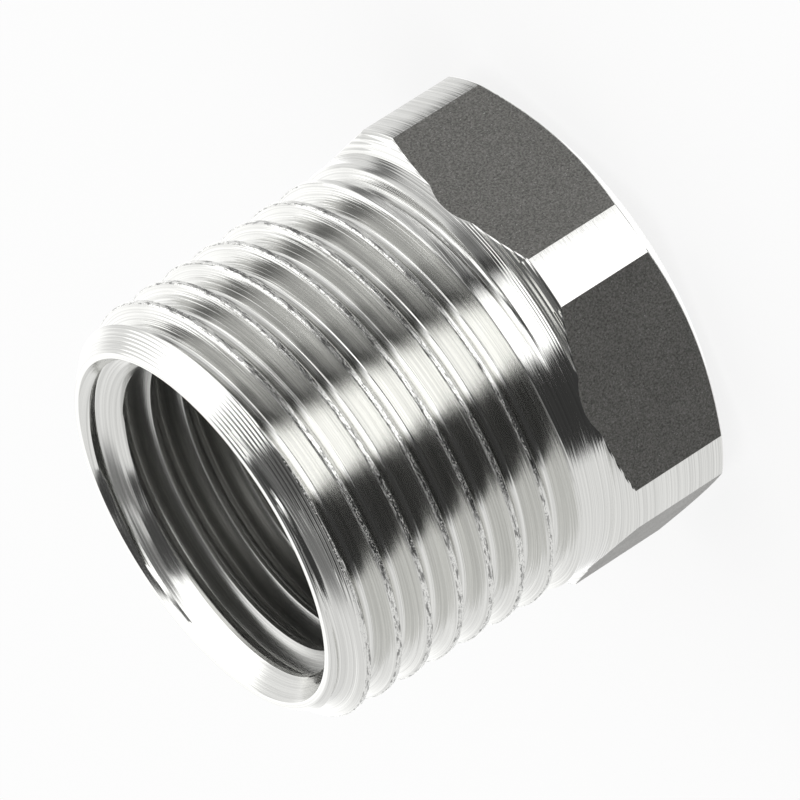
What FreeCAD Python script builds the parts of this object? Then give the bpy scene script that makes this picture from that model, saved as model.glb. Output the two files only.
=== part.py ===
# Hexagon reducing bush, turned from one piece of stainless steel bar.
# Outside is a right-hand tapered pipe thread with 19 threads to the inch. The bore is plain, at the
# minor diameter of the parallel pipe thread that is cut in it.
# Millimetres. The bush stands on the end face of its hexagon, with its axis on Z and its threaded
# end up. One corner of the hexagon is on +X.
import FreeCAD
import Part
import Sketcher
import math
import os

NODE = "hex_bushing"

# Driving dimensions, each an alias in the sheet
DIMENSIONS = [
    ("overall_length", 17.0),
    ("small_end_diameter", 16.262),
    ("taper", 16.0),
    ("end_chamfer", 0.91),
    ("end_rim", 0.27),
    ("mouth_half_angle", 37.5),
    ("bore_diameter", 11.89),
    ("lower_chamfer", 0.97),
    ("corner_land", 3.93),
    ("hex_chamfer_angle", 30.0),
    ("collar_rise", 0.34),
    ("collar_over_neck", 0.0894),
    ("corner_over_collar", 0.715),
    ("corner_over_flat", 0.79),
    ("hex_rim", 0.7374),
    ("pitch", 1.337),
    ("flank_angle", 27.5),
    ("thread_depth", 0.856),
    ("crest_width", 0.18),
    ("crest_offset", 2.11),
    ("full_thread_gap", 0.95),
    ("pull_out_turn", 0.39),
    ("cutter_clearance", 0.1),
]

doc = FreeCAD.newDocument("bush")
sheet = doc.addObject("Spreadsheet::Sheet", "sizes")
for row, (alias, value) in enumerate(DIMENSIONS, start=1):
    sheet.set("A%d" % row, alias)
    sheet.set("B%d" % row, str(value))
    sheet.setAlias("B%d" % row, alias)
doc.recompute()

# Radii and heights that follow from the sheet, as expressions
SMALL_END = "sizes.small_end_diameter / 2"
BORE = "sizes.bore_diameter / 2"
CHAMFER_RISE = "tan(sizes.hex_chamfer_angle * 1 deg)"
CORNER_TOP = "(sizes.lower_chamfer + sizes.corner_land)"
COLLAR_FOOT = "(%s + sizes.corner_over_collar * %s)" % (CORNER_TOP, CHAMFER_RISE)
NECK_FOOT = "(%s + sizes.collar_rise)" % COLLAR_FOOT
NECK = "(%s + (sizes.overall_length - %s) / (2 * sizes.taper))" % (SMALL_END, NECK_FOOT)
COLLAR = "(%s + sizes.collar_over_neck)" % NECK
CORNER = "(%s + sizes.corner_over_collar)" % COLLAR
ACROSS_CORNERS = "(2 * (%s - sizes.corner_over_flat) / cos(30 deg))" % CORNER
HEX_FACE = "(%s - sizes.lower_chamfer / %s)" % (CORNER, CHAMFER_RISE)
HEX_MOUTH = "(%s - sizes.hex_rim)" % HEX_FACE
END_FACE = "(%s - sizes.end_chamfer)" % SMALL_END
END_MOUTH = "(%s - sizes.end_rim)" % END_FACE
MOUTH_DEPTH = "((%s - %s) / tan(sizes.mouth_half_angle * 1 deg))" % (END_MOUTH, BORE)
CHAMFER_DEPTH = "(sizes.end_chamfer / (1 - 1 / (2 * sizes.taper)))"
FLANK = "tan(sizes.flank_angle * 1 deg)"
HALF_GROOVE = "((sizes.pitch - sizes.crest_width) / 2)"
THREAD_START = "(sizes.overall_length - sizes.crest_offset + 2.5 * sizes.pitch)"
FULL_TURNS = "((%s - %s - sizes.full_thread_gap) / sizes.pitch)" % (THREAD_START, NECK_FOOT)
TAPER_ANGLE = "atan(1 / (2 * sizes.taper))"


def crest_radius(height):
    """The radius of the cone of the thread's crests at a height."""
    return "(%s + (sizes.overall_length - %s) / (2 * sizes.taper))" % (SMALL_END, height)


def value_of(expression):
    """The number that an expression of the sheet's sizes gives now."""
    return float(sheet.evalExpression(expression))


def origin_feature(body, role):
    """The origin plane or axis of a body with this role."""
    return next(part for part in body.Origin.OriginFeatures if part.Role == role)


def axial_sketch(body, name, corners, turned="0"):
    """A closed outline of straight edges in a plane through the axis.

    Each corner is a radius and a height, both expressions, which become the sketch's dimensions.
    The plane is XZ, turned about the axis by an angle that is an expression too.
    """
    sketch = body.newObject("Sketcher::SketchObject", name)
    sketch.AttachmentSupport = [(origin_feature(body, "XZ_Plane"), "")]
    sketch.MapMode = "FlatFace"
    sketch.AttachmentOffset = FreeCAD.Placement(
        FreeCAD.Vector(), FreeCAD.Rotation(FreeCAD.Vector(0, 1, 0), value_of(turned))
    )
    points = [FreeCAD.Vector(value_of(r), value_of(z), 0) for r, z in corners]
    for here, there in zip(points, points[1:] + points[:1]):
        sketch.addGeometry(Part.LineSegment(here, there), False)
    for edge in range(len(corners)):
        following = (edge + 1) % len(corners)
        sketch.addConstraint(Sketcher.Constraint("Coincident", edge, 2, following, 1))
    for edge, (radius, height) in enumerate(corners):
        for kind, expression in (("DistanceX", radius), ("DistanceY", height)):
            limit = Sketcher.Constraint(kind, -1, 1, edge, 1, value_of(expression))
            index = sketch.addConstraint(limit)
            sketch.setExpression("Constraints[%d]" % index, expression)
    return sketch


def turned_blank(body):
    """The lathe's work: chamfered hexagon blank, collar, tapered neck, end chamfer and bore."""
    chamfer_foot = "(sizes.overall_length - %s)" % CHAMFER_DEPTH
    section = axial_sketch(body, "blank_section", [
        (BORE, "%s - %s" % (HEX_MOUTH, BORE)),
        (HEX_MOUTH, "0"),
        (HEX_FACE, "0"),
        (CORNER, "sizes.lower_chamfer"),
        (CORNER, CORNER_TOP),
        (COLLAR, COLLAR_FOOT),
        (NECK, NECK_FOOT),
        (crest_radius(chamfer_foot), chamfer_foot),
        (END_FACE, "sizes.overall_length"),
        (END_MOUTH, "sizes.overall_length"),
        (BORE, "sizes.overall_length - %s" % MOUTH_DEPTH),
    ])
    doc.recompute()
    blank = body.newObject("PartDesign::Revolution", "turned_blank")
    blank.Profile = section
    blank.ReferenceAxis = (section, ["V_Axis"])
    blank.Angle = 360
    doc.recompute()
    return blank


def hexagon(body):
    """The six flats: what lies outside the hexagon is cut away up to the foot of the neck."""
    sketch = body.newObject("Sketcher::SketchObject", "hexagon_outline")
    sketch.AttachmentSupport = [(origin_feature(body, "XY_Plane"), "")]
    sketch.MapMode = "FlatFace"
    across_corners = value_of(ACROSS_CORNERS)
    steps = [math.radians(60 * k) for k in range(7)]
    points = [FreeCAD.Vector(math.cos(a), math.sin(a), 0) * (across_corners / 2) for a in steps]
    for here, there in zip(points, points[1:]):
        sketch.addGeometry(Part.LineSegment(here, there), False)
    up = FreeCAD.Vector(0, 0, 1)
    through_corners = sketch.addGeometry(Part.Circle(FreeCAD.Vector(), up, across_corners / 2), True)
    outside = sketch.addGeometry(Part.Circle(FreeCAD.Vector(), up, across_corners), False)
    for side in range(6):
        sketch.addConstraint(Sketcher.Constraint("Coincident", side, 2, (side + 1) % 6, 1))
        sketch.addConstraint(Sketcher.Constraint("PointOnObject", side, 1, through_corners))
    for side in range(1, 6):
        sketch.addConstraint(Sketcher.Constraint("Equal", 0, side))
    sketch.addConstraint(Sketcher.Constraint("PointOnObject", 0, 1, -1))
    for circle, size in ((through_corners, ACROSS_CORNERS),
                         (outside, "2 * %s" % ACROSS_CORNERS)):
        sketch.addConstraint(Sketcher.Constraint("Coincident", circle, 3, -1, 1))
        limit = Sketcher.Constraint("Diameter", circle, value_of(size))
        index = sketch.addConstraint(limit)
        sketch.setExpression("Constraints[%d]" % index, size)
    doc.recompute()
    flats = body.newObject("PartDesign::Pocket", "hexagon_flats")
    flats.Profile = sketch
    flats.Reversed = True
    flats.Length = value_of(NECK_FOOT)
    flats.setExpression("Length", NECK_FOOT)
    doc.recompute()
    return flats


def groove_section(body, name, height, turned="0"):
    """The cutter's outline at a height: flat root, two flanks, and open beyond the crest."""
    crest = crest_radius(height)
    root = "(%s - sizes.thread_depth)" % crest
    outer = "(%s + sizes.cutter_clearance)" % crest
    root_half = "(%s - sizes.thread_depth * %s)" % (HALF_GROOVE, FLANK)
    outer_half = "(%s + sizes.cutter_clearance * %s)" % (HALF_GROOVE, FLANK)
    return axial_sketch(body, name, [
        (root, "%s - %s" % (height, root_half)),
        (root, "%s + %s" % (height, root_half)),
        (outer, "%s + %s" % (height, outer_half)),
        (outer, "%s - %s" % (height, outer_half)),
    ], turned)


def helical_cut(body, name, section, turns, cone_angle):
    """Carries the cutter's outline down a right-hand helix that widens by the cone's half angle."""
    doc.recompute()
    cut = body.newObject("PartDesign::SubtractiveHelix", name)
    cut.Profile = section
    cut.ReferenceAxis = (section, ["V_Axis"])
    cut.Mode = "pitch-turns-angle"
    cut.Reversed = True
    cut.Refine = False
    cut.setExpression("Pitch", "sizes.pitch")
    cut.setExpression("Turns", turns)
    cut.setExpression("Angle", cone_angle)
    doc.recompute()
    return cut


def outer_thread(body):
    """The tapered thread, one turn to a cut, and the pull-out where the tool leaves the work.

    The first cut starts in the air above the threaded end. The pull-out follows a steep cone,
    so that the groove comes up to the surface within part of a turn.
    """
    full_turns = value_of(FULL_TURNS)
    whole_turns = math.floor(full_turns)
    for turn in range(whole_turns):
        start = "(%s - %d * sizes.pitch)" % (THREAD_START, turn)
        section = groove_section(body, "groove_section_%d" % turn, start)
        helical_cut(body, "groove_turn_%d" % turn, section, "1", TAPER_ANGLE)
    start = "(%s - %d * sizes.pitch)" % (THREAD_START, whole_turns)
    section = groove_section(body, "last_section", start)
    helical_cut(body, "last_groove", section, "%s - %d" % (FULL_TURNS, whole_turns), TAPER_ANGLE)
    end = "(%s + sizes.full_thread_gap)" % NECK_FOOT
    section = groove_section(body, "pull_out_section", end, "-360 * %s" % FULL_TURNS)
    lift = "(sizes.thread_depth + sizes.cutter_clearance)"
    pull_out = "atan(%s / (sizes.pull_out_turn * sizes.pitch))" % lift
    helical_cut(body, "pull_out", section, "sizes.pull_out_turn", pull_out)


bush = doc.addObject("PartDesign::Body", NODE)
bush.Label = NODE
turned_blank(bush)
hexagon(bush)
outer_thread(bush)
doc.recompute()

for item in doc.Objects:
    if "Invalid" in item.State or "Error" in item.State:
        raise RuntimeError("%s is %s" % (item.Name, item.State))
if bush.Shape.isNull() or not bush.Shape.isValid() or len(bush.Shape.Solids) != 1:
    raise RuntimeError("the bush isn't one valid solid")

os.makedirs("parts", exist_ok=True)
bush.Shape.exportStep("parts/%s.step" % bush.Label)
print(bush.Label, "%.1f mm3" % bush.Shape.Volume, bush.Shape.BoundBox)
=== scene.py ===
# %% [markdown]
# # A turned hexagon bush
# This object is a reducing bush: one short piece of stainless steel bar, turned on a lathe. It has
# a tapered pipe thread outside, a parallel pipe thread inside and a low hexagon for the spanner.
# A lathe makes every surface by turning, so each one can be written as a radius that depends on
# the angle about the axis and on the height. This lesson builds the whole bush that way, as one
# closed mesh, then gives it the marks that the tools leave.

# %% Load the frame
import math

import bpy
import numpy as np
from mathutils import Matrix


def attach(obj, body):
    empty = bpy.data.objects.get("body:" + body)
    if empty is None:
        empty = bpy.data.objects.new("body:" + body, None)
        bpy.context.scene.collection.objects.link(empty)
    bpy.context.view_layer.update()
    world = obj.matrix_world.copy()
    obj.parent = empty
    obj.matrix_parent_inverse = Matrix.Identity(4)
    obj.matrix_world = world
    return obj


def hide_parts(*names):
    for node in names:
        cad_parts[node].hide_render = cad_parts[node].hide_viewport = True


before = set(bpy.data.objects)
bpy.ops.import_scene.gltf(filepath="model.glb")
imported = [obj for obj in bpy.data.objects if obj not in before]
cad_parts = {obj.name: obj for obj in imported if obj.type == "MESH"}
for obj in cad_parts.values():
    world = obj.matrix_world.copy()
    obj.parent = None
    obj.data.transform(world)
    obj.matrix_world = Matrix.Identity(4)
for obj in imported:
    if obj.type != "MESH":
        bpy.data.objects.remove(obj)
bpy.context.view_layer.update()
NODE = "hex_bushing"

# %% [markdown]
# ## The sizes
# The bush stands on the flat end of its hexagon, with its axis on Z. All sizes are millimetres
# here, and become metres only when a mesh is made. The outside thread has 19 turns to the inch on
# a taper of 1 in 16. The bore has the same pitch, with no taper.

# %% Name the sizes
MM = 0.001
LENGTH = 17.0
TAPER = 1 / 32                    # radius gained for each millimetre down from the threaded end
SMALL_END = 8.131                 # radius of the crests at the threaded end
END_CHAMFER = 0.95                # 0.91 in the solid
END_RIM = 0.23                    # 0.27 in the solid, so the mouth begins at the same radius
END_FACE = SMALL_END - END_CHAMFER  # outer edge of the ring face at the threaded end
END_MOUTH = END_FACE - END_RIM    # inner edge of that ring, where the mouth begins
MOUTH_SLOPE = math.tan(math.radians(37.5))

CORNER = 9.29                     # the bar's own radius, left at the hexagon's corners
FLAT = 8.5                        # half the distance across the flats
RISE = math.tan(math.radians(30))
LOWER_CHAMFER = 0.97
CORNER_TOP = 4.90
COLLAR = 8.575
COLLAR_FOOT = CORNER_TOP + (CORNER - COLLAR) * RISE
COLLAR_RISE = 0.34
NECK_FOOT = COLLAR_FOOT + COLLAR_RISE
NECK = SMALL_END + (LENGTH - NECK_FOOT) * TAPER
HEX_FACE = CORNER - LOWER_CHAMFER / RISE
HEX_MOUTH = 6.8725

PITCH = 1.337
FLANK = math.radians(27.5)
DEPTH = 0.856
CREST_WIDTH = 0.18
MEAN_RADIUS = 8.3                 # where lengths round the thread are measured
AROUND = 2 * math.pi * MEAN_RADIUS  # mm in one turn
GROOVE_AT_ZERO = LENGTH - 2.11 + 2.5 * PITCH  # height of a groove's centre at angle 0, in the air
RUN_OUT = NECK_FOOT + 0.95        # height at which the tool starts to leave the work
RUN_OUT_TURN = 0.39               # the part of a turn in which it leaves
CLEARANCE = 0.1                   # mm that it is drawn back past the surface
MINOR = 5.945                     # radius of the bore, at the crests of the thread inside
INNER_AT_ZERO = 14.74             # height of one groove of the bore's thread at angle 0
INNER_CREST = 0.18
print("neck's foot at %.3f mm, run-out from %.3f mm" % (NECK_FOOT, RUN_OUT))

# %% [markdown]
# ## Columns that know where the corners are
# A circle of even steps would miss the edges between the flats and the rounded corners of the
# hexagon, and they would look chewed. So each sixth of the circle puts columns of its own on both
# sides of each edge, and even steps between. All outer surfaces share these columns.

# %% Angles of the columns
corner_half = 30 - math.degrees(math.acos(FLAT / CORNER))
band = np.linspace(-corner_half, corner_half, 13)
flat = np.linspace(corner_half, 60 - corner_half, 49)[1:-1]
degrees = np.concatenate([np.append(band, flat) + 60 * side for side in range(6)])
START = degrees[0] / 360          # the first column's angle, in turns
turns = np.append((degrees - degrees[0]) / 360, 1.0)
cosine = np.cos(2 * np.pi * (START + turns))
sine = np.sin(2 * np.pi * (START + turns))
cosine[-1], sine[-1] = cosine[0], sine[0]
print(len(degrees), "columns, a corner reaches %.2f degrees to each side" % corner_half)

# %% [markdown]
# ## The thread as a height field
# A thread is one groove wound on a cone. Its section is a V of 55 degrees with a round root and a
# narrow flat crest. At any angle and height there is just one radius, so no screw modifier is
# needed: the radius is worked out from how far the point lies from the centre of the nearest
# turn of the groove. Where the tool left the work, the same V rises out of the metal.

# %% Section of the groove
HOLLOW = 0.015                    # mm that a flank is hollow in its middle, as it looks in the photo


def groove_depth(offset, half_width):
    """Depth of the V at an axial offset from its centre, in mm.

    On the flank: (half width - |offset|) / tan(flank), a little hollow. In the root: an arc whose
    circle touches both flanks and reaches the full depth.
    """
    offset = np.abs(offset)
    vertex = half_width / math.tan(FLANK)
    root = (vertex - DEPTH) / (1 / math.sin(FLANK) - 1)
    touch = root * math.cos(FLANK)
    up = np.clip((offset - touch) / (half_width - touch), 0, 1)
    flank = (half_width - offset) / math.tan(FLANK) + HOLLOW * np.sin(math.pi * up)
    arc = DEPTH - root + np.sqrt(np.maximum(root ** 2 - offset ** 2, 0))
    return np.where(offset < touch, arc, flank)


def smooth_step(value, low, high):
    """0 below low, 1 above high, and 3t^2 - 2t^3 between."""
    share = np.clip((value - low) / (high - low), 0, 1)
    return share * share * (3 - 2 * share)


def ragged(place, scale, seed):
    """Value noise along a line: random numbers every scale mm, with smooth steps between them."""
    table = np.random.default_rng(seed).random(8192)
    cell = np.floor(place / scale).astype(int)
    share = smooth_step(place / scale - cell, 0, 1)
    here = table[cell % len(table)]
    there = table[(cell + 1) % len(table)]
    return here * (1 - share) + there * share


HALF_GROOVE = (PITCH - CREST_WIDTH) / 2
print("groove %.3f mm wide and %.3f mm deep" % (2 * HALF_GROOVE, DEPTH))

# %% [markdown]
# ## Outside: cone, groove, run-out and end chamfer
# The cone of the crests is cut by the groove, and near the end by a chamfer of 45 degrees. The
# sharp edge of each crest carries a burr that the threading tool pushed up, higher on the side of
# the threaded end, and torn here and there. A bump in the material could suggest it, but here it
# is a real part of the mesh, a few hundredths of a millimetre high, so that it shows in profile.

# %% Radius of the outside
BURR = 0.03                       # mm that the burr stands up at most
BURR_WIDTH = 0.035
CREST_ROUND = 0.016               # mm over which a crest's edge is rounded
UPPER_ROUND = 0.05                # the same for the edge towards the threaded end
FULL_LIFT = 0.2                   # mm of lift up to which a groove still counts as full
ENTRY = 0.05                      # mm less depth where the tool entered


def groove_centre(turn):
    """Height of the groove's centre at a number of turns from angle 0, on a right-hand helix."""
    return GROOVE_AT_ZERO + PITCH * (START + turn)


def lift_of(turn):
    """How far the tool has left the work: 0 up to the run-out, then in line with the drop."""
    drop = np.maximum(RUN_OUT - groove_centre(turn), 0)
    return drop * ((DEPTH + CLEARANCE) / (RUN_OUT_TURN * PITCH) - TAPER)


def outer_radius(height, turn, burr_height=BURR):
    """Cone minus groove, cut by the end chamfer, plus the burr along the groove's edges.

    The nearest turn of the groove counts. A soft maximum, log(1 + exp(x)), rounds the edge. The
    burr is a bell curve over each edge, times a height that varies along the edge. It has teeth
    every 0.23 mm in patches of 1.7 mm, and chips every 0.3 mm. It fades where the groove narrows.
    """
    near = turn + np.round((height - groove_centre(turn)) / PITCH)
    offset = height - groove_centre(near)
    depth = groove_depth(offset, HALF_GROOVE) - lift_of(near)
    soft = np.where((offset < 0) & (lift_of(near - 1) < FULL_LIFT), UPPER_ROUND, CREST_ROUND)
    depth = soft * np.logaddexp(0, depth / soft)
    depth = depth - ENTRY * smooth_step(height, LENGTH - 1, LENGTH)
    along = near * AROUND
    edge = np.exp(-((np.abs(offset) - HALF_GROOVE - 0.01) / BURR_WIDTH) ** 2)
    torn = ragged(along, 0.23, 1) * smooth_step(ragged(along, 1.7, 2), 0.25, 0.8)
    torn = torn + 0.5 * smooth_step(ragged(along, 0.3, 3), 0.72, 1.0)
    burr = burr_height * edge * np.where(offset < 0, 0.6 + 0.4 * torn, 0.35 * torn)
    burr = burr * smooth_step(HALF_GROOVE - lift_of(near) * math.tan(FLANK), 0.3, 0.5)
    cone = SMALL_END + (LENGTH - height) * TAPER
    chamfer = END_FACE + (LENGTH - height)
    return np.minimum(cone - depth + burr, chamfer)


# %% [markdown]
# ## Rows that follow the helix
# If the rows of the grid were level circles, each crest would cut across them and look like a
# staircase. So the rows climb with the thread: one pitch of rows for each turn, and the end of
# one turn's row is the start of the row one pitch higher. The rows are close together where the
# section bends, at the root and at the crest. Rows past either end are pressed flat onto the end,
# and what has no area left is dropped when the mesh is welded.

# %% Rows of a helical surface
SLIVER = 0.012                    # mm from an end within which a row is moved onto the end


def helical_rows(centre, half_width, in_groove, on_crest, laps, high, low, ring):
    """Heights and turns of a grid that follows a groove, for the columns in ring.

    Row j of a turn lies at centre + offset_j. The offset is a share of the groove's half width
    inside the groove, and a share of the rest of the half pitch on the crest.
    """
    groove = np.concatenate([-np.array(in_groove[:0:-1]), in_groove])
    shares = np.concatenate([-1 - np.array(on_crest[::-1]), groove, 1 + np.array(on_crest[:-1])])
    lap = np.append(np.repeat(np.arange(*laps), len(shares)), laps[1])
    shares = np.append(np.tile(shares, laps[1] - laps[0]), shares[0])
    turn = lap[:, None] + ring[None, :]
    half = half_width(turn)
    share = np.abs(shares)[:, None]
    beyond = np.clip(share - 1, 0, 1) * (PITCH / 2 - half)
    offset = np.sign(shares)[:, None] * (np.minimum(share, 1) * half + beyond)
    height = centre(turn) + offset
    height = np.where(height - low < SLIVER, low, height)
    height = np.where(high - height < SLIVER, high, height)
    return height, turn


# %% The outside thread's grid
IN_GROOVE = [0, 0.12, 0.23, 0.336, 0.55, 0.76, 0.90, 0.965]
ON_CREST = [0.22, 0.6, 1.0]
OUTER_LAPS = (-11, 1)             # first lap and the one after the last, in turns from angle 0
LEAST_HALF = 0.12                 # mm of groove that the rows keep to each side as it vanishes


def outer_half_width(turn):
    """Half width of the groove where it meets the cone: narrower as the tool lifts."""
    return np.maximum(HALF_GROOVE - lift_of(turn) * math.tan(FLANK), LEAST_HALF)


height, turn = helical_rows(groove_centre, outer_half_width, IN_GROOVE, ON_CREST, OUTER_LAPS,
                            LENGTH, NECK_FOOT, turns)
outside = (outer_radius(height, turn), height)
print("outside grid", height.shape)

# %% [markdown]
# ## Welding grids into one closed mesh
# Each surface is a grid of radius and height over the columns. The faces of all grids are put in
# one list, points in the same place become one point, and faces that have lost their area go.
# Each face corner also keeps where it lies along and across the tool's path, in millimetres, so
# that the finish can follow the turning.

# %% Collect and weld
TURNED, SAWN, BORED, TORN, FACED = range(5)
patches = []


def add_patch(radius, height, ring, along, across, finish, outward=True):
    """Four-cornered faces between neighbouring rows and columns of a grid.

    x = radius * cos(angle), y = radius * sin(angle), z = height. along and across are the
    tool path's coordinates for each row and column, in mm.
    """
    rows, count = radius.shape
    points = np.stack([radius * cosine[ring], radius * sine[ring], height], -1)
    low, high = slice(0, rows - 1), slice(1, rows)
    left, right = slice(0, count - 1), slice(1, count)
    order = [(low, left), (low, right), (high, right), (high, left)]
    if not outward:
        order.reverse()
    faces = np.stack([points[r, c] for r, c in order], 2).reshape(-1, 4, 3)
    paths = np.stack([along, across], -1)
    path = np.stack([paths[r, c] for r, c in order], 2).reshape(-1, 4, 2)
    finish = np.broadcast_to(finish, (rows - 1, count - 1)).reshape(-1)
    patches.append((faces, path, finish))
    return len(faces)


def distance_across(radius, height):
    """Distance from the first row along the section, in mm: the sum of the steps between rows."""
    step = np.hypot(np.diff(radius, axis=0), np.diff(height, axis=0))
    return np.concatenate([np.zeros((1, radius.shape[1])), np.cumsum(step, axis=0)])


def faces_where(points_mask):
    """True for the faces of a grid whose four corners are all marked."""
    return points_mask[:-1, :-1] & points_mask[:-1, 1:] & points_mask[1:, :-1] & points_mask[1:, 1:]


def add_laps(radius, height, smooth, ring, laps, finish, outward):
    """A helical grid, one lap at a time, so that each lap has its own start across.

    The distance across is measured on smooth, which is the radius without the burr. So the end of
    one turn's row and the start of the next turn's row have the same distance.
    """
    count = 0
    per_lap = (len(radius) - 1) // (laps[1] - laps[0])
    for index, lap in enumerate(range(*laps)):
        rows = slice(index * per_lap, (index + 1) * per_lap + 1)
        faces = slice(rows.start, rows.stop - 1)
        along = np.broadcast_to((lap + turns[ring]) * AROUND, radius[rows].shape)
        across = distance_across(smooth[rows], height[rows])
        count += add_patch(radius[rows], height[rows], ring, along, across, finish[faces], outward)
    return count


every = np.arange(len(turns))
smooth = outer_radius(height, turn, burr_height=0)
per_lap = (len(height) - 1) // (OUTER_LAPS[1] - OUTER_LAPS[0])
at_chamfer = np.abs(outside[0] - (END_FACE + LENGTH - height)) < 1e-6
row_in_lap = np.arange(len(height) - 1) % per_lap
on_crest = (row_in_lap < len(ON_CREST)) | (row_in_lap >= per_lap - len(ON_CREST) + 1)
has_groove = lift_of(turn - 1)[:-1, :-1] < FULL_LIFT
outer_finish = np.where(on_crest[:, None] & has_groove, TORN, TURNED)
outer_finish = np.where(faces_where(at_chamfer), FACED, outer_finish)
print(add_laps(*outside, smooth, every, OUTER_LAPS, outer_finish, True),
      "faces on the outside thread")

# %% [markdown]
# ## The hexagon
# The hexagon is milled on a round bar, so each flat meets the round corners in a straight edge,
# and the turned chamfers above and below in curved edges. Each column of the grid works out at
# which height its own edge lies, and a row goes there. The curved edges are broken by a narrow
# strip, as on the real part, and catch a line of light. The straight ones are left sharp.

# %% Rows of the hexagon
BREAK = 0.03                      # mm of a broken edge to each side
from_middle = np.abs((np.append(degrees, degrees[0]) % 60) - 30)
side = np.minimum(FLAT / np.cos(np.radians(from_middle)), CORNER)
is_flat = from_middle < 30 - corner_half + 1e-6
low_edge = (side - HEX_FACE) * RISE
high_edge = np.where(side > COLLAR, CORNER_TOP + (CORNER - side) * RISE,
                     COLLAR_FOOT + (COLLAR - side) * COLLAR_RISE / (COLLAR - NECK))


def blank_radius(height):
    """Cone of 30 degrees from the corner to the collar, then a steep cone to the neck."""
    return np.interp(height, [CORNER_TOP, COLLAR_FOOT, NECK_FOOT], [CORNER, COLLAR, NECK])


def hexagon_rows():
    """Radius and height of each row, from the end face up to the foot of the neck."""
    ones = np.ones_like(side)
    rows = [((HEX_FACE - BREAK) * ones, 0 * ones)]
    for height in (0.5 * BREAK * ones, 0.5 * low_edge, low_edge - 0.5 * BREAK):
        rows.append((HEX_FACE + height / RISE, height))
    for share in (0, 0.2, 0.4, 0.6, 0.8, 1):
        rows.append((side, (low_edge + BREAK) * (1 - share) + (high_edge - BREAK) * share))
    start = high_edge + 0.6 * BREAK
    collar = np.maximum(start, COLLAR_FOOT)
    for height in (start, (start + collar) / 2, collar, (collar + NECK_FOOT) / 2,
                   NECK_FOOT * ones):
        rows.append((blank_radius(height), height))
    return [np.array(values) for values in zip(*rows)]


hex_radius, hex_height = hexagon_rows()
hex_across = distance_across(hex_radius, hex_height)
hex_along = np.broadcast_to(turns * AROUND, hex_radius.shape)
hex_finish = np.full((len(hex_radius) - 1, len(turns) - 1), TURNED)
SIDES, ABOVE = 4, 9               # the first row of the six sides, and the first above them
hex_finish[SIDES:ABOVE] = np.where(is_flat[:-1] & is_flat[1:], SAWN, TURNED)
hex_finish[ABOVE:] = FACED
print(add_patch(hex_radius, hex_height, every, hex_along, hex_across, hex_finish), "faces")

# %% [markdown]
# ## The bore
# The thread inside is parallel, so its crests are the bored cylinder and its grooves are cut
# outwards. A tapered mouth leads into it at the threaded end and a chamfer of 45 degrees at the
# hexagon. They are cones, so the largest of the three radii is the surface, and no edge has to be
# worked out. The bore takes every second column, because it is smaller.

# %% Radius of the bore
INNER_HALF = (PITCH - INNER_CREST) / 2
INNER_ROUND = 0.02                # mm over which a crest's lower edge is rounded
INNER_LAPS = (-12, 3)


def inner_centre(turn):
    """Height of the inside groove's centre at a number of turns from angle 0."""
    return INNER_AT_ZERO + PITCH * (START + turn)


def inner_radius(height, turn):
    """The largest of three radii: the thread, the mouth's cone and the hexagon end's cone."""
    near = turn + np.round((height - inner_centre(turn)) / PITCH)
    depth = groove_depth(height - inner_centre(near), INNER_HALF)
    soft = np.where(height < inner_centre(near), UPPER_ROUND, INNER_ROUND)
    thread = MINOR + soft * np.logaddexp(0, depth / soft)
    mouth = END_MOUTH - (LENGTH - height) * MOUTH_SLOPE
    return np.maximum(np.maximum(thread, mouth), HEX_MOUTH - height)


second = every[::2]
height_in, turn_in = helical_rows(inner_centre, lambda turn: INNER_HALF + 0 * turn,
                                  [0, 0.17, 0.34, 0.65, 0.95], [0.2, 1.0], INNER_LAPS,
                                  LENGTH, 0.0, turns[second])
inside = inner_radius(height_in, turn_in)
inner_finish = np.full((len(height_in) - 1, 1), BORED)
print(add_laps(inside, height_in, inside, second, INNER_LAPS, inner_finish, False),
      "faces in the bore")

# %% [markdown]
# ## The two ring faces
# The narrow ring at the threaded end and the wide one at the hexagon join the outside to the
# bore. The outer rim has twice the columns of the inner rim, so each face has five corners:
# three on the outer rim and two on the inner.

# %% Ring faces
rings = []


def add_ring(outer, inner, height, upward):
    """Flat faces of five corners between a rim of all columns and one of every second column."""
    def rim(radius, ring):
        ones = np.ones(len(ring))
        return np.stack([radius * cosine[ring], radius * sine[ring], height * ones], -1)
    wide, narrow = rim(outer, every), rim(inner, second)
    corners = [wide[:-2:2], wide[1:-1:2], wide[2::2], narrow[1:], narrow[:-1]]
    if not upward:
        corners.reverse()
    faces = np.stack(corners, 1)
    rings.append((faces, np.full(len(faces), TURNED)))


add_ring(END_FACE, END_MOUTH, LENGTH, True)
add_ring(HEX_FACE - BREAK, HEX_MOUTH, 0.0, False)
print(sum(len(faces) for faces, _ in rings), "faces on the rings")

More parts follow.
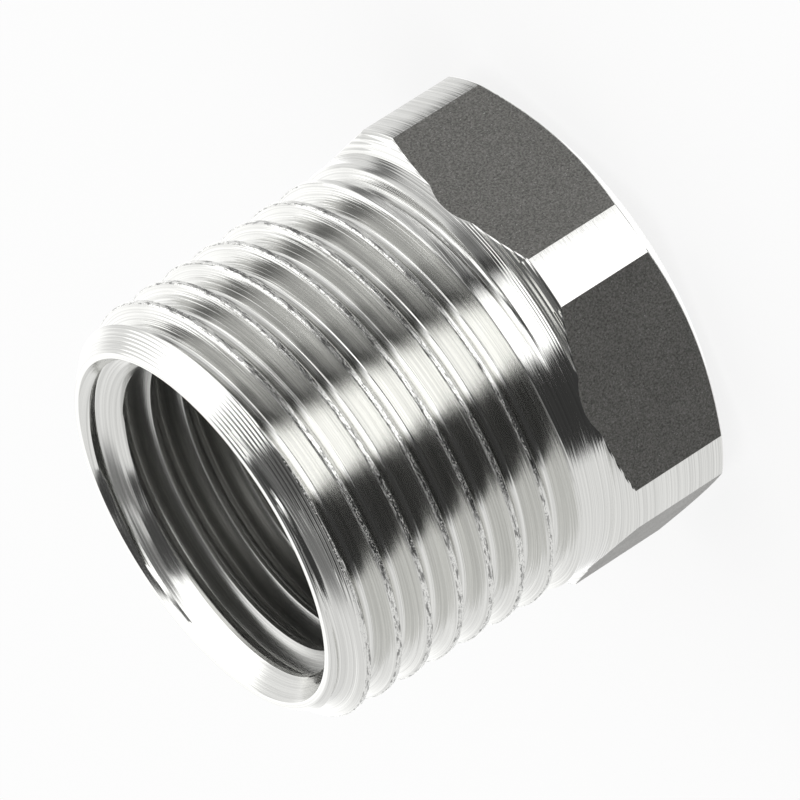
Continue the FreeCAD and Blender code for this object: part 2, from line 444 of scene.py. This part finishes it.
# %% Weld everything into one mesh
def weld(patches, rings):
    """Points equal to 0.1 micrometre become one. Faces keep their corners that are still apart."""
    quads = np.concatenate([faces for faces, _, _ in patches])
    paths = np.concatenate([path for _, path, _ in patches])
    finish = np.concatenate([kind for _, _, kind in patches])
    fives = np.concatenate([faces for faces, _ in rings])
    ring_path = np.stack([np.arctan2(fives[..., 1], fives[..., 0]) * MEAN_RADIUS,
                          np.hypot(fives[..., 0], fives[..., 1])], -1)
    points = np.concatenate([quads.reshape(-1, 3), fives.reshape(-1, 3)])
    keys = np.round(points * 1e4).astype(np.int64)
    _, first, inverse = np.unique(keys, axis=0, return_index=True, return_inverse=True)
    inverse = inverse.reshape(-1)
    quad_ids = inverse[:quads.shape[0] * 4].reshape(-1, 4)
    five_ids = inverse[quads.shape[0] * 4:].reshape(-1, 5)
    keep = quad_ids != np.roll(quad_ids, -1, axis=1)
    whole = keep.sum(1) >= 3
    # a corner that equals the next one is dropped, and a face needs three that are left
    across_pair = (quad_ids[:, 0] == quad_ids[:, 2]) | (quad_ids[:, 1] == quad_ids[:, 3])
    whole &= ~across_pair
    quad_ids, keep, paths, finish = quad_ids[whole], keep[whole], paths[whole], finish[whole]
    loops = np.concatenate([quad_ids[keep], five_ids.reshape(-1)])
    loop_paths = np.concatenate([paths[keep], ring_path.reshape(-1, 2)])
    sizes = np.concatenate([keep.sum(1), np.full(len(five_ids), 5)])
    finishes = np.concatenate([finish] + [kind for _, kind in rings])
    return points[first], loops, sizes, loop_paths, finishes


def make_mesh(name, points, loops, sizes, loop_paths, finishes):
    """A mesh from arrays: points in mm, corners of all faces in a row, and each face's size."""
    mesh = bpy.data.meshes.new(name)
    mesh.vertices.add(len(points))
    mesh.vertices.foreach_set("co", (points * MM).astype(np.float32).ravel())
    mesh.loops.add(len(loops))
    mesh.loops.foreach_set("vertex_index", loops.astype(np.int32))
    mesh.polygons.add(len(sizes))
    starts = np.concatenate([[0], np.cumsum(sizes)[:-1]]).astype(np.int32)
    mesh.polygons.foreach_set("loop_start", starts)
    mesh.polygons.foreach_set("material_index", finishes.astype(np.int32))
    mesh.update(calc_edges=True)
    path = mesh.uv_layers.new(name="tool_path")
    path.uv.foreach_set("vector", loop_paths.astype(np.float32).ravel())
    mesh.validate()
    piece = bpy.data.objects.new(name, mesh)
    bpy.context.scene.collection.objects.link(piece)
    return piece


def sharpen_outline(mesh, finish):
    """Marks as sharp each edge between a face of this finish and a face of another one."""
    sides = np.empty(len(mesh.polygons), np.int32)
    mesh.polygons.foreach_get("loop_total", sides)
    kind = np.empty(len(mesh.polygons), np.int32)
    mesh.polygons.foreach_get("material_index", kind)
    edge = np.empty(len(mesh.loops), np.int32)
    mesh.loops.foreach_get("edge_index", edge)
    same = np.bincount(edge, np.repeat(kind == finish, sides), len(mesh.edges))
    sharp = np.empty(len(mesh.edges), bool)
    mesh.edges.foreach_get("use_edge_sharp", sharp)
    mesh.edges.foreach_set("use_edge_sharp", sharp | (same == 1))


SHARP = 27                        # degrees between two faces past which their edge is sharp
bush = make_mesh("bush", *weld(patches, rings))
bush.data.shade_smooth()
bush.data.set_sharp_from_angle(angle=math.radians(SHARP))
sharpen_outline(bush.data, SAWN)
triangles = sum(len(face.vertices) - 2 for face in bush.data.polygons)
print("bush:", len(bush.data.vertices), "points,", triangles, "triangles")

# %% [markdown]
# ## Finishes
# The real part is bare stainless steel, and all its variety comes from how each surface was cut.
# In Blender that is one metal shader, whose colour, roughness and small relief differ from finish
# to finish. A few helpers come first: one turns sRGB colours to linear, one adds any node, and one
# ends each material with the metal and its relief.

# %% Helpers for nodes
BLACK = (0, 0, 0, 1)


def linear(hex_colour):
    """sRGB hex text to linear RGBA: each channel is ((c + 0.055) / 1.055) ^ 2.4, or c / 12.92."""
    channels = [int(hex_colour[i:i + 2], 16) / 255 for i in (1, 3, 5)]
    return [c / 12.92 if c < 0.04045 else ((c + 0.055) / 1.055) ** 2.4 for c in channels] + [1.0]


def add(tree, kind, sockets=None, **settings):
    """One node. settings are its properties; sockets map an input to a value or to an output."""
    node = tree.nodes.new(kind)
    for name, value in settings.items():
        setattr(node, name, value)
    for name, value in (sockets or {}).items():
        if isinstance(value, bpy.types.NodeSocket):
            tree.links.new(value, node.inputs[name])
        else:
            node.inputs[name].default_value = value
    return node


def new_material(name):
    """An empty node material, its tree and its output."""
    material = bpy.data.materials.new(name)
    material.use_nodes = True
    material.node_tree.nodes.clear()
    return material, material.node_tree, add(material.node_tree, "ShaderNodeOutputMaterial")


def metal(tree, output, colour, rough, bumps, anisotropic=0.0):
    """A metal shader with a chain of bumps, each a height output and its depth in mm."""
    normal = None
    for height, depth_mm in bumps:
        sockets = {"Height": height, "Strength": 1.0, "Distance": depth_mm * MM}
        if normal is not None:
            sockets["Normal"] = normal
        normal = add(tree, "ShaderNodeBump", sockets).outputs[0]
    tangent = add(tree, "ShaderNodeTangent", direction_type="RADIAL", axis="Z")
    shader = add(tree, "ShaderNodeBsdfPrincipled", {
        "Base Color": colour, "Metallic": 1.0, "Roughness": rough,
        "Anisotropic": anisotropic, "Tangent": tangent.outputs[0], "Normal": normal})
    tree.links.new(shader.outputs[0], output.inputs[0])


# %% [markdown]
# ## Where a pattern lies
# Turning marks run round the part, so plain object coordinates would cut across them. On the
# threads a pattern lies on the tool path, which each face corner keeps in its UV map. On the
# chamfers it lies on level rings: the angle about the axis, and the height. Both are in
# millimetres, so a pattern's size can be written as the size it has on the real part.

# %% Two kinds of place
def path_place(tree, long_mm, wide_mm):
    """The tool path's coordinates, scaled so that a pattern is long_mm by wide_mm."""
    path = add(tree, "ShaderNodeUVMap", uv_map="tool_path")
    scale = (1 / long_mm, 1 / wide_mm, 1)
    return add(tree, "ShaderNodeVectorMath", {0: path.outputs[0], 1: scale},
               operation="MULTIPLY").outputs[0]


def ring_place(tree, long_mm, wide_mm):
    """The same for level rings: the angle about the axis, and the height, in mm."""
    place = add(tree, "ShaderNodeTexCoord").outputs["Object"]
    parts = add(tree, "ShaderNodeSeparateXYZ", {0: place})
    angle = add(tree, "ShaderNodeMath", {0: parts.outputs[1], 1: parts.outputs[0]},
                operation="ARCTAN2")
    joined = add(tree, "ShaderNodeCombineXYZ", {0: angle.outputs[0], 1: parts.outputs[2]})
    scale = (MEAN_RADIUS / long_mm, 1 / (wide_mm * MM), 1)
    return add(tree, "ShaderNodeVectorMath", {0: joined.outputs[0], 1: scale},
               operation="MULTIPLY").outputs[0]


# %% [markdown]
# ## Turned stainless steel
# A turned surface has fine rings that follow the tool. They blur a reflection across the rings
# and keep it sharp along them, so it needs an anisotropic gloss and a stretched pattern. The
# photo is too coarse to measure the real marks, which are taken to be about 0.05 mm apart. On the
# threads the finest are drawn 0.07 mm apart, so that they show. The streaks are at most 9
# micrometres deep: more would break up the long reflections of the flanks. The rings on the
# chamfers are even, like the grooves of a record.

# %% Marks that belong to one place
FEED = 0.1                        # mm of height between the chamfers' rings
MOUTH_FOOT = 15.83                # height in mm below which the bore is rougher and painted shade darkens it
CHAMFER_EDGE = 16.07              # height in mm of the burr on the threaded end's chamfer
EDGE_HALF = 0.07
STREAK = {"Scale": 1.0, "Detail": 2.0, "Roughness": 0.6}


def height_mm(tree):
    """The height above the floor in mm."""
    place = add(tree, "ShaderNodeTexCoord").outputs["Object"]
    parts = add(tree, "ShaderNodeSeparateXYZ", {0: place})
    return add(tree, "ShaderNodeMath", {0: parts.outputs[2], 1: 1 / MM},
               operation="MULTIPLY").outputs[0]


def on_mouth(tree):
    """1 in the mouth, 0 below it in the bore, by height."""
    return add(tree, "ShaderNodeMapRange", {
        "Value": height_mm(tree), "From Min": MOUTH_FOOT - 0.03,
        "From Max": MOUTH_FOOT + 0.03}).outputs[0]


def feed_marks(tree):
    """Even rings, and a burr of chips on the outer edge of the threaded end's chamfer.

    A wave node's bands are pi / 10 apart at scale 1, so this scale gives one band for each FEED.
    """
    rings = add(tree, "ShaderNodeTexWave", {
        "Vector": ring_place(tree, 400.0, FEED), "Scale": math.pi / 10, "Distortion": 0.8,
        "Detail": 1.0}, bands_direction="Y").outputs["Fac"]
    edge = add(tree, "ShaderNodeMath", {0: height_mm(tree), 1: CHAMFER_EDGE, 2: EDGE_HALF},
               operation="COMPARE")
    flakes = add(tree, "ShaderNodeTexNoise", {"Vector": ring_place(tree, 0.12, 0.08), **STREAK})
    chips = add(tree, "ShaderNodeMapRange", {
        "Value": flakes.outputs["Fac"], "From Min": 0.55, "From Max": 0.62})
    burr = add(tree, "ShaderNodeMath", {0: edge.outputs[0], 1: chips.outputs[0]},
               operation="MULTIPLY")
    return [(rings, 0.009), (burr.outputs[0], 0.02)]


# %% The turned finish
STEEL = "#e6e6e3"


def turned_steel(name, rough, place_of, streak_mm, depth_um, bored=False, faced=False):
    """Polished by the tool, with streaks along its path in colour, gloss and relief.

    A bored surface is rougher below its mouth, where painted shade darkens it. A faced one has even
    feed marks.
    """
    material, tree, output = new_material(name)
    wide, fine, steps = [
        add(tree, "ShaderNodeTexNoise", {
            **STREAK, "Vector": place_of(tree, long_mm, streak_mm * share), "Detail": detail})
        .outputs["Fac"]
        for long_mm, share, detail in ((70.0, 1.0, 2.0), (25.0, 0.5, 3.0), (35.0, 0.9, 2.0))]
    steps = add(tree, "ShaderNodeMapRange", {
        "Value": steps, "From Min": 0.52, "From Max": 0.6}).outputs[0]
    light = add(tree, "ShaderNodeMapRange", {
        "Value": fine, "From Min": 0.35, "From Max": 0.6, "To Min": 0.8, "To Max": 1.0})
    tone = add(tree, "ShaderNodeMix", {"Factor": light.outputs[0], 6: BLACK, 7: linear(STEEL)},
               data_type="RGBA").outputs[2]
    gloss = add(tree, "ShaderNodeMapRange", {
        "Value": wide, "From Min": 0.3, "From Max": 0.7, "To Min": rough * 0.8,
        "To Max": rough * 1.4}).outputs[0]
    if bored:
        mouth = on_mouth(tree)
        gloss = add(tree, "ShaderNodeMix", {"Factor": mouth, 2: 0.26, 3: gloss}).outputs[0]
        # Painted shade: below the mouth the bore's colour is darkened to three quarters.
        bore_shade = add(tree, "ShaderNodeMapRange", {"Value": mouth, "To Min": 0.75, "To Max": 1.0})
        tone = add(tree, "ShaderNodeMix", {"Factor": bore_shade.outputs[0], 6: BLACK, 7: tone},
                   data_type="RGBA").outputs[2]
    relief = [(wide, depth_um / 1000), (fine, depth_um / 1200), (steps, depth_um / 3000)]
    if faced:
        relief = relief[:1] + feed_marks(tree)
    metal(tree, output, tone, gloss, relief, anisotropic=0.5)
    return material


# %% [markdown]
# ## Crests that the tool tore
# A threading tool tears the narrow crests as it passes. They stay dull and dark, with bright
# chips that catch the light. The burr is in the mesh. The chips are drawn about 0.08 mm long,
# which is less than the length of a face, so they are a relief in the material.

# %% Torn crests
def torn_steel(name):
    """Dark in patches of 0.5 mm and speckled with chips that stand 0.018 mm high."""
    material, tree, output = new_material(name)
    flakes = add(tree, "ShaderNodeTexNoise", {
        **STREAK, "Vector": path_place(tree, 0.08, 0.05)}).outputs["Fac"]
    blur = add(tree, "ShaderNodeTexNoise", {
        **STREAK, "Vector": path_place(tree, 0.5, 0.1), "Detail": 3.0}).outputs["Fac"]
    chips = add(tree, "ShaderNodeMapRange", {
        "Value": flakes, "From Min": 0.56, "From Max": 0.64}).outputs[0]
    light = add(tree, "ShaderNodeMapRange", {
        "Value": blur, "From Min": 0.38, "From Max": 0.52, "To Min": 0.3, "To Max": 1.0})
    tone = add(tree, "ShaderNodeMix", {"Factor": light.outputs[0], 6: BLACK, 7: linear(STEEL)},
               data_type="RGBA")
    gloss = add(tree, "ShaderNodeMapRange", {
        "Value": blur, "From Min": 0.35, "From Max": 0.65, "To Min": 0.1, "To Max": 0.16})
    metal(tree, output, tone.outputs[2], gloss.outputs[0], [(flakes, 0.003), (chips, 0.018)])
    return material


# %% [markdown]
# ## Blasted flats
# The six flats are a dull dark grey with a sandy grain. They look as if they were sawn or milled
# and then blasted. The dents of the grit are taken to be about 0.05 mm across, too small to
# measure in the photo, and are drawn at 0.075 mm, because finer ones would average out in the
# render. A few spots are painted in a paler colour, as glints of facets that face the light.

# %% Blasted flats
def blasted_steel(name):
    """Dull grey with a fine sandy grain, and a few paler spots as painted glints."""
    material, tree, output = new_material(name)
    place = add(tree, "ShaderNodeTexCoord").outputs["Object"]
    grain = add(tree, "ShaderNodeTexNoise", {
        "Vector": place, "Scale": 1 / (0.075 * MM), "Detail": 4.0, "Roughness": 0.75}).outputs["Fac"]
    patch = add(tree, "ShaderNodeTexNoise", {
        **STREAK, "Vector": place, "Scale": 1 / (1.3 * MM)}).outputs["Fac"]
    glint_noise = add(tree, "ShaderNodeTexNoise", {
        **STREAK, "Vector": place, "Scale": 1 / (0.05 * MM), "Detail": 1.0}).outputs["Fac"]
    light = add(tree, "ShaderNodeMapRange", {
        "Value": grain, "From Min": 0.35, "From Max": 0.65, "To Min": 0.35, "To Max": 1.0})
    tone = add(tree, "ShaderNodeMix", {
        "Factor": light.outputs[0], 6: BLACK, 7: linear("#a09f9b")}, data_type="RGBA")
    # Painted glints: where this noise is high, the flats' colour turns to the pale STEEL colour.
    painted_glints = add(tree, "ShaderNodeMapRange", {
        "Value": glint_noise, "From Min": 0.72, "From Max": 0.78})
    tone = add(tree, "ShaderNodeMix", {
        "Factor": painted_glints.outputs[0], 6: tone.outputs[2], 7: linear(STEEL)}, data_type="RGBA")
    gloss = add(tree, "ShaderNodeMapRange", {
        "Value": patch, "From Min": 0.3, "From Max": 0.7, "To Min": 0.43, "To Max": 0.48})
    metal(tree, output, tone.outputs[2], gloss.outputs[0], [(grain, 0.012)])
    return material


# %% Give each finish to its faces, in the order of TURNED, SAWN, BORED, TORN and FACED
for finish in (turned_steel("turned stainless steel", 0.1, path_place, 0.14, 9.0),
               blasted_steel("blasted stainless flats"),
               turned_steel("bored stainless steel", 0.14, path_place, 0.2, 3.0, bored=True),
               torn_steel("torn thread crests"),
               turned_steel("faced stainless steel", 0.09, ring_place, 0.07, 4.0, faced=True)):
    bush.data.materials.append(finish)
    print(finish.name, "has", len(finish.node_tree.nodes), "nodes")

# %% [markdown]
# ## The studio
# Bright metal is drawn by what it reflects. White panels and dark flags stand around the bush,
# and the eye reads its roundness from their edges. They are so far away, for so small an object,
# that only their direction counts. So they are painted on the world, each with the bearing and
# the height above the horizon of its middle, its half width and half height in degrees, the
# softness of its edge and its brightness. A later one lies over an earlier one.

# %% World of panels and flags
ROOM = 0.92                       # brightness of the pale room behind the panels
PANELS = [
    # bearing, height, half width, half height, soft, brightness
    ("back wall", 169, -10, 25, 60, 14, 1.35),
    ("front panel", 1.2, -30, 21, 65, 3, 1.85),
    ("left flag", -49, -20, 26.5, 72, 5, 0.045),
    ("right flag", 35, -4, 17, 30, 14, 0.25),
    ("low right flag", 34, -55, 12, 28, 10, 0.3),
    ("low right panel", 82, -44, 26, 18, 10, 1.5),
    ("slat 1", 66, -31, 34, 2, 2, 0.5),
    ("slat 2", 66, -38, 34, 2, 2, 0.5),
    ("slat 3", 66, -45, 34, 2, 2, 0.5),
    ("slat 4", 66, -52, 34, 2, 2, 0.5),
    ("edge flag", 27.5, -30, 5, 62, 2, 0.05),
    ("right grey panel", 62, -18, 14, 10, 8, 0.42),
    ("crest flag", 42, -19, 13, 5, 8, 0.16),
    ("horizon band", 86, -18, 28, 9, 8, 0.55),
    ("narrow flag", 108, -25, 9, 32, 12, 0.22),
    ("roof flag", 0, 90, 180, 36, 14, 0.22),
    ("front roof flag", -8, 46.5, 36, 20, 3, 0.06),
    ("high left strip", -50, 70, 24, 3, 3, 0.9),
    ("high right panel", 80, 46, 61, 20, 4, 1.7),
    ("roof", 0, 90, 180, 16, 10, 0.14),
]


def panel(tree, bearing, elevation, under, values):
    """One panel over what is under it: two soft bands, |angle - middle| < half, multiplied."""
    middle, height, half_width, half_height, soft, brightness = values
    turned = add(tree, "ShaderNodeMath", {0: bearing, 1: middle}, operation="SUBTRACT")
    wrapped = add(tree, "ShaderNodeMath", {0: turned.outputs[0], 1: 180.0, 2: -180.0},
                  operation="WRAP")
    raised = add(tree, "ShaderNodeMath", {0: elevation, 1: height}, operation="SUBTRACT")
    masks = []
    for angle, half in ((wrapped, half_width), (raised, half_height)):
        size = add(tree, "ShaderNodeMath", {0: angle.outputs[0]}, operation="ABSOLUTE")
        band = add(tree, "ShaderNodeMapRange", {
            "Value": size.outputs[0], "From Min": half + soft / 2, "From Max": half - soft / 2},
            interpolation_type="SMOOTHSTEP")
        masks.append(band.outputs[0])
    mask = add(tree, "ShaderNodeMath", {0: masks[0], 1: masks[1]}, operation="MULTIPLY")
    over = add(tree, "ShaderNodeMix", {"Factor": mask.outputs[0], 2: under, 3: brightness})
    return over.outputs[0]


world = bpy.data.worlds.new("studio")
bpy.context.scene.world = world
world.use_nodes = True
tree = world.node_tree
tree.nodes.clear()
direction = add(tree, "ShaderNodeTexCoord").outputs["Generated"]
parts = add(tree, "ShaderNodeSeparateXYZ", {0: direction})
around = add(tree, "ShaderNodeMath", {0: parts.outputs[1], 1: parts.outputs[0]},
             operation="ARCTAN2")
bearing = add(tree, "ShaderNodeMath", {0: around.outputs[0]}, operation="DEGREES").outputs[0]
above = add(tree, "ShaderNodeMath", {0: parts.outputs[2]}, operation="ARCSINE")
elevation = add(tree, "ShaderNodeMath", {0: above.outputs[0]}, operation="DEGREES").outputs[0]
level = add(tree, "ShaderNodeValue")
level.outputs[0].default_value = ROOM
level = level.outputs[0]
for name, *values in PANELS:
    level = panel(tree, bearing, elevation, level, values)
studio = add(tree, "ShaderNodeBackground", {0: (1, 1, 1, 1), 1: level})
plain = add(tree, "ShaderNodeBackground", {0: (1, 1, 1, 1), 1: 1.0})
ray = add(tree, "ShaderNodeLightPath")
mixed = add(tree, "ShaderNodeMixShader", {0: ray.outputs["Is Glossy Ray"], 1: plain.outputs[0],
                                          2: studio.outputs[0]})
add(tree, "ShaderNodeOutputWorld", {0: mixed.outputs[0]})
print(len(PANELS), "panels and flags in the studio")

# %% [markdown]
# ## Floor and background
# The bush stands on plain white paper. The camera sees the paper as nearly pure white, through a
# glow that only camera rays meet, and the rest of its colour is a plain diffuse one that takes the
# bush's soft shadow. Metal doesn't see the floor, but the panels behind it.

# %% Floor
FLOOR = 1.5                       # metres to each side
GLOW = 0.8                        # share of the glow in what the camera sees of the paper
corners = [(-FLOOR, -FLOOR, 0), (FLOOR, -FLOOR, 0), (FLOOR, FLOOR, 0), (-FLOOR, FLOOR, 0)]
floor_mesh = bpy.data.meshes.new("floor")
floor_mesh.from_pydata(corners, [], [(0, 1, 2, 3)])
floor = bpy.data.objects.new("floor", floor_mesh)
bpy.context.scene.collection.objects.link(floor)
material, tree, output = new_material("white paper floor")
paper = add(tree, "ShaderNodeBsdfDiffuse", {0: (0.9, 0.9, 0.9, 1)})
glow = add(tree, "ShaderNodeEmission", {0: (1, 1, 1, 1), 1: 1.0})
ray = add(tree, "ShaderNodeLightPath")
share = add(tree, "ShaderNodeMath", {0: ray.outputs["Is Camera Ray"], 1: GLOW},
            operation="MULTIPLY")
mixed = add(tree, "ShaderNodeMixShader", {0: share.outputs[0], 1: paper.outputs[0],
                                          2: glow.outputs[0]})
tree.links.new(mixed.outputs[0], output.inputs[0])
floor_mesh.materials.append(material)
floor.visible_glossy = False
print("floor", 2 * FLOOR, "metres across")

# %% [markdown]
# ## Camera
# The camera stands 35 cm away with a long lens, and is rolled, so that the upright bush lies
# askew in the picture. Its place and its three axes were worked out from the ellipses of the bush
# in the photo: to the right in the picture, down in it, and forward into it.

# %% Camera
PLACE = (0.3161204, -0.0279412, 0.1393592)
RIGHT = (0.2735, -0.5647, -0.7786)
DOWN = (-0.2796, -0.8212, 0.4974)
FORWARD = (-0.9203, 0.0817, -0.3825)
camera_data = bpy.data.cameras.new("camera")
camera_data.sensor_fit = "HORIZONTAL"
camera_data.sensor_width = 36
camera_data.lens = 438.37
camera_data.clip_start = 0.01
camera = bpy.data.objects.new("camera", camera_data)
bpy.context.scene.collection.objects.link(camera)
axes = Matrix((RIGHT, [-v for v in DOWN], [-v for v in FORWARD])).transposed()
camera.matrix_world = Matrix.Translation(PLACE) @ axes.to_4x4()
bpy.context.scene.camera = camera
print("camera %.3f m from the bush's foot" % camera.location.length)

# %% [markdown]
# ## Hand over
# The mesh takes the place of the plain solid and rides on its body.

# %% Hand over
bpy.context.scene.view_settings.view_transform = "Standard"
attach(bush, "root")
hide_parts(NODE)
